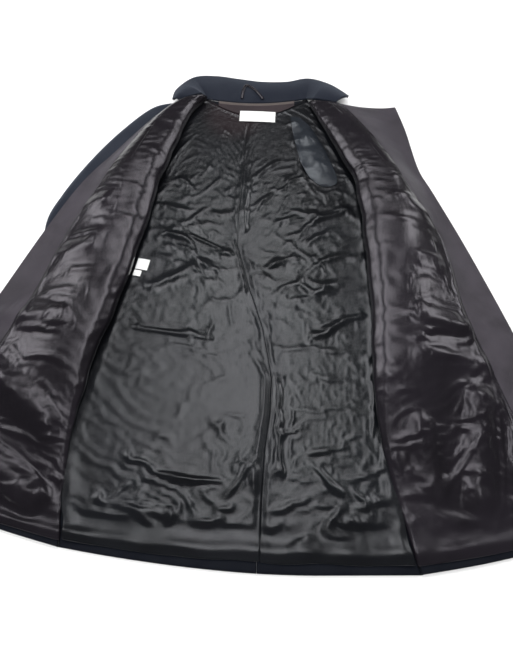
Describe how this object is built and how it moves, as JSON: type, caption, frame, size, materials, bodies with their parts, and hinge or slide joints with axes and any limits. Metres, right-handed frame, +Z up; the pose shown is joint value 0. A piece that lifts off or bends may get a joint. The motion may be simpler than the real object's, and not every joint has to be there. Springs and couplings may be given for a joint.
{
  "type": "open long coat laid flat, inside up",
  "caption": "Dark wool long jacket lying open on its back, inside up, with satin lining, facings, collar, hanger loop and blank labels.",
  "frame": {"origin": "middle of the underside of the garment, on the surface that it lies on", "axes": "+Z up from that surface, +X to the right of the picture, +Y from the hem to the collar"},
  "size_m": [1.104, 0.9812, 0.0502],
  "materials": {
    "wool": "matte blue-black wool cloth with a short nap",
    "facing": "brown-black facing cloth with a low sheen",
    "satin": "near-black satin lining with a strong soft sheen and many creases",
    "label": "blank white woven tape"
  },
  "bodies": {
    "root": {"back_left": "wool", "back_right": "wool", "front_left": "wool", "front_right": "wool", "hem_back_left": "wool", "hem_back_right": "wool", "hem_left": "wool", "hem_right": "wool", "sleeve_top_left": "wool", "sleeve_under_left": "wool", "sleeve_top_right": "wool", "sleeve_under_right": "wool", "collar": "wool", "under_collar": "wool", "facing_left": "facing", "facing_right": "facing", "neck_facing": "facing", "lining_back_left": "satin", "lining_back_right": "satin", "lining_left": "satin", "lining_right": "satin", "armhole_lining_right": "satin", "hanger_loop": "satin", "neck_label": "label", "care_label": "label", "care_label_small": "label"}
  },
  "joints": []
}
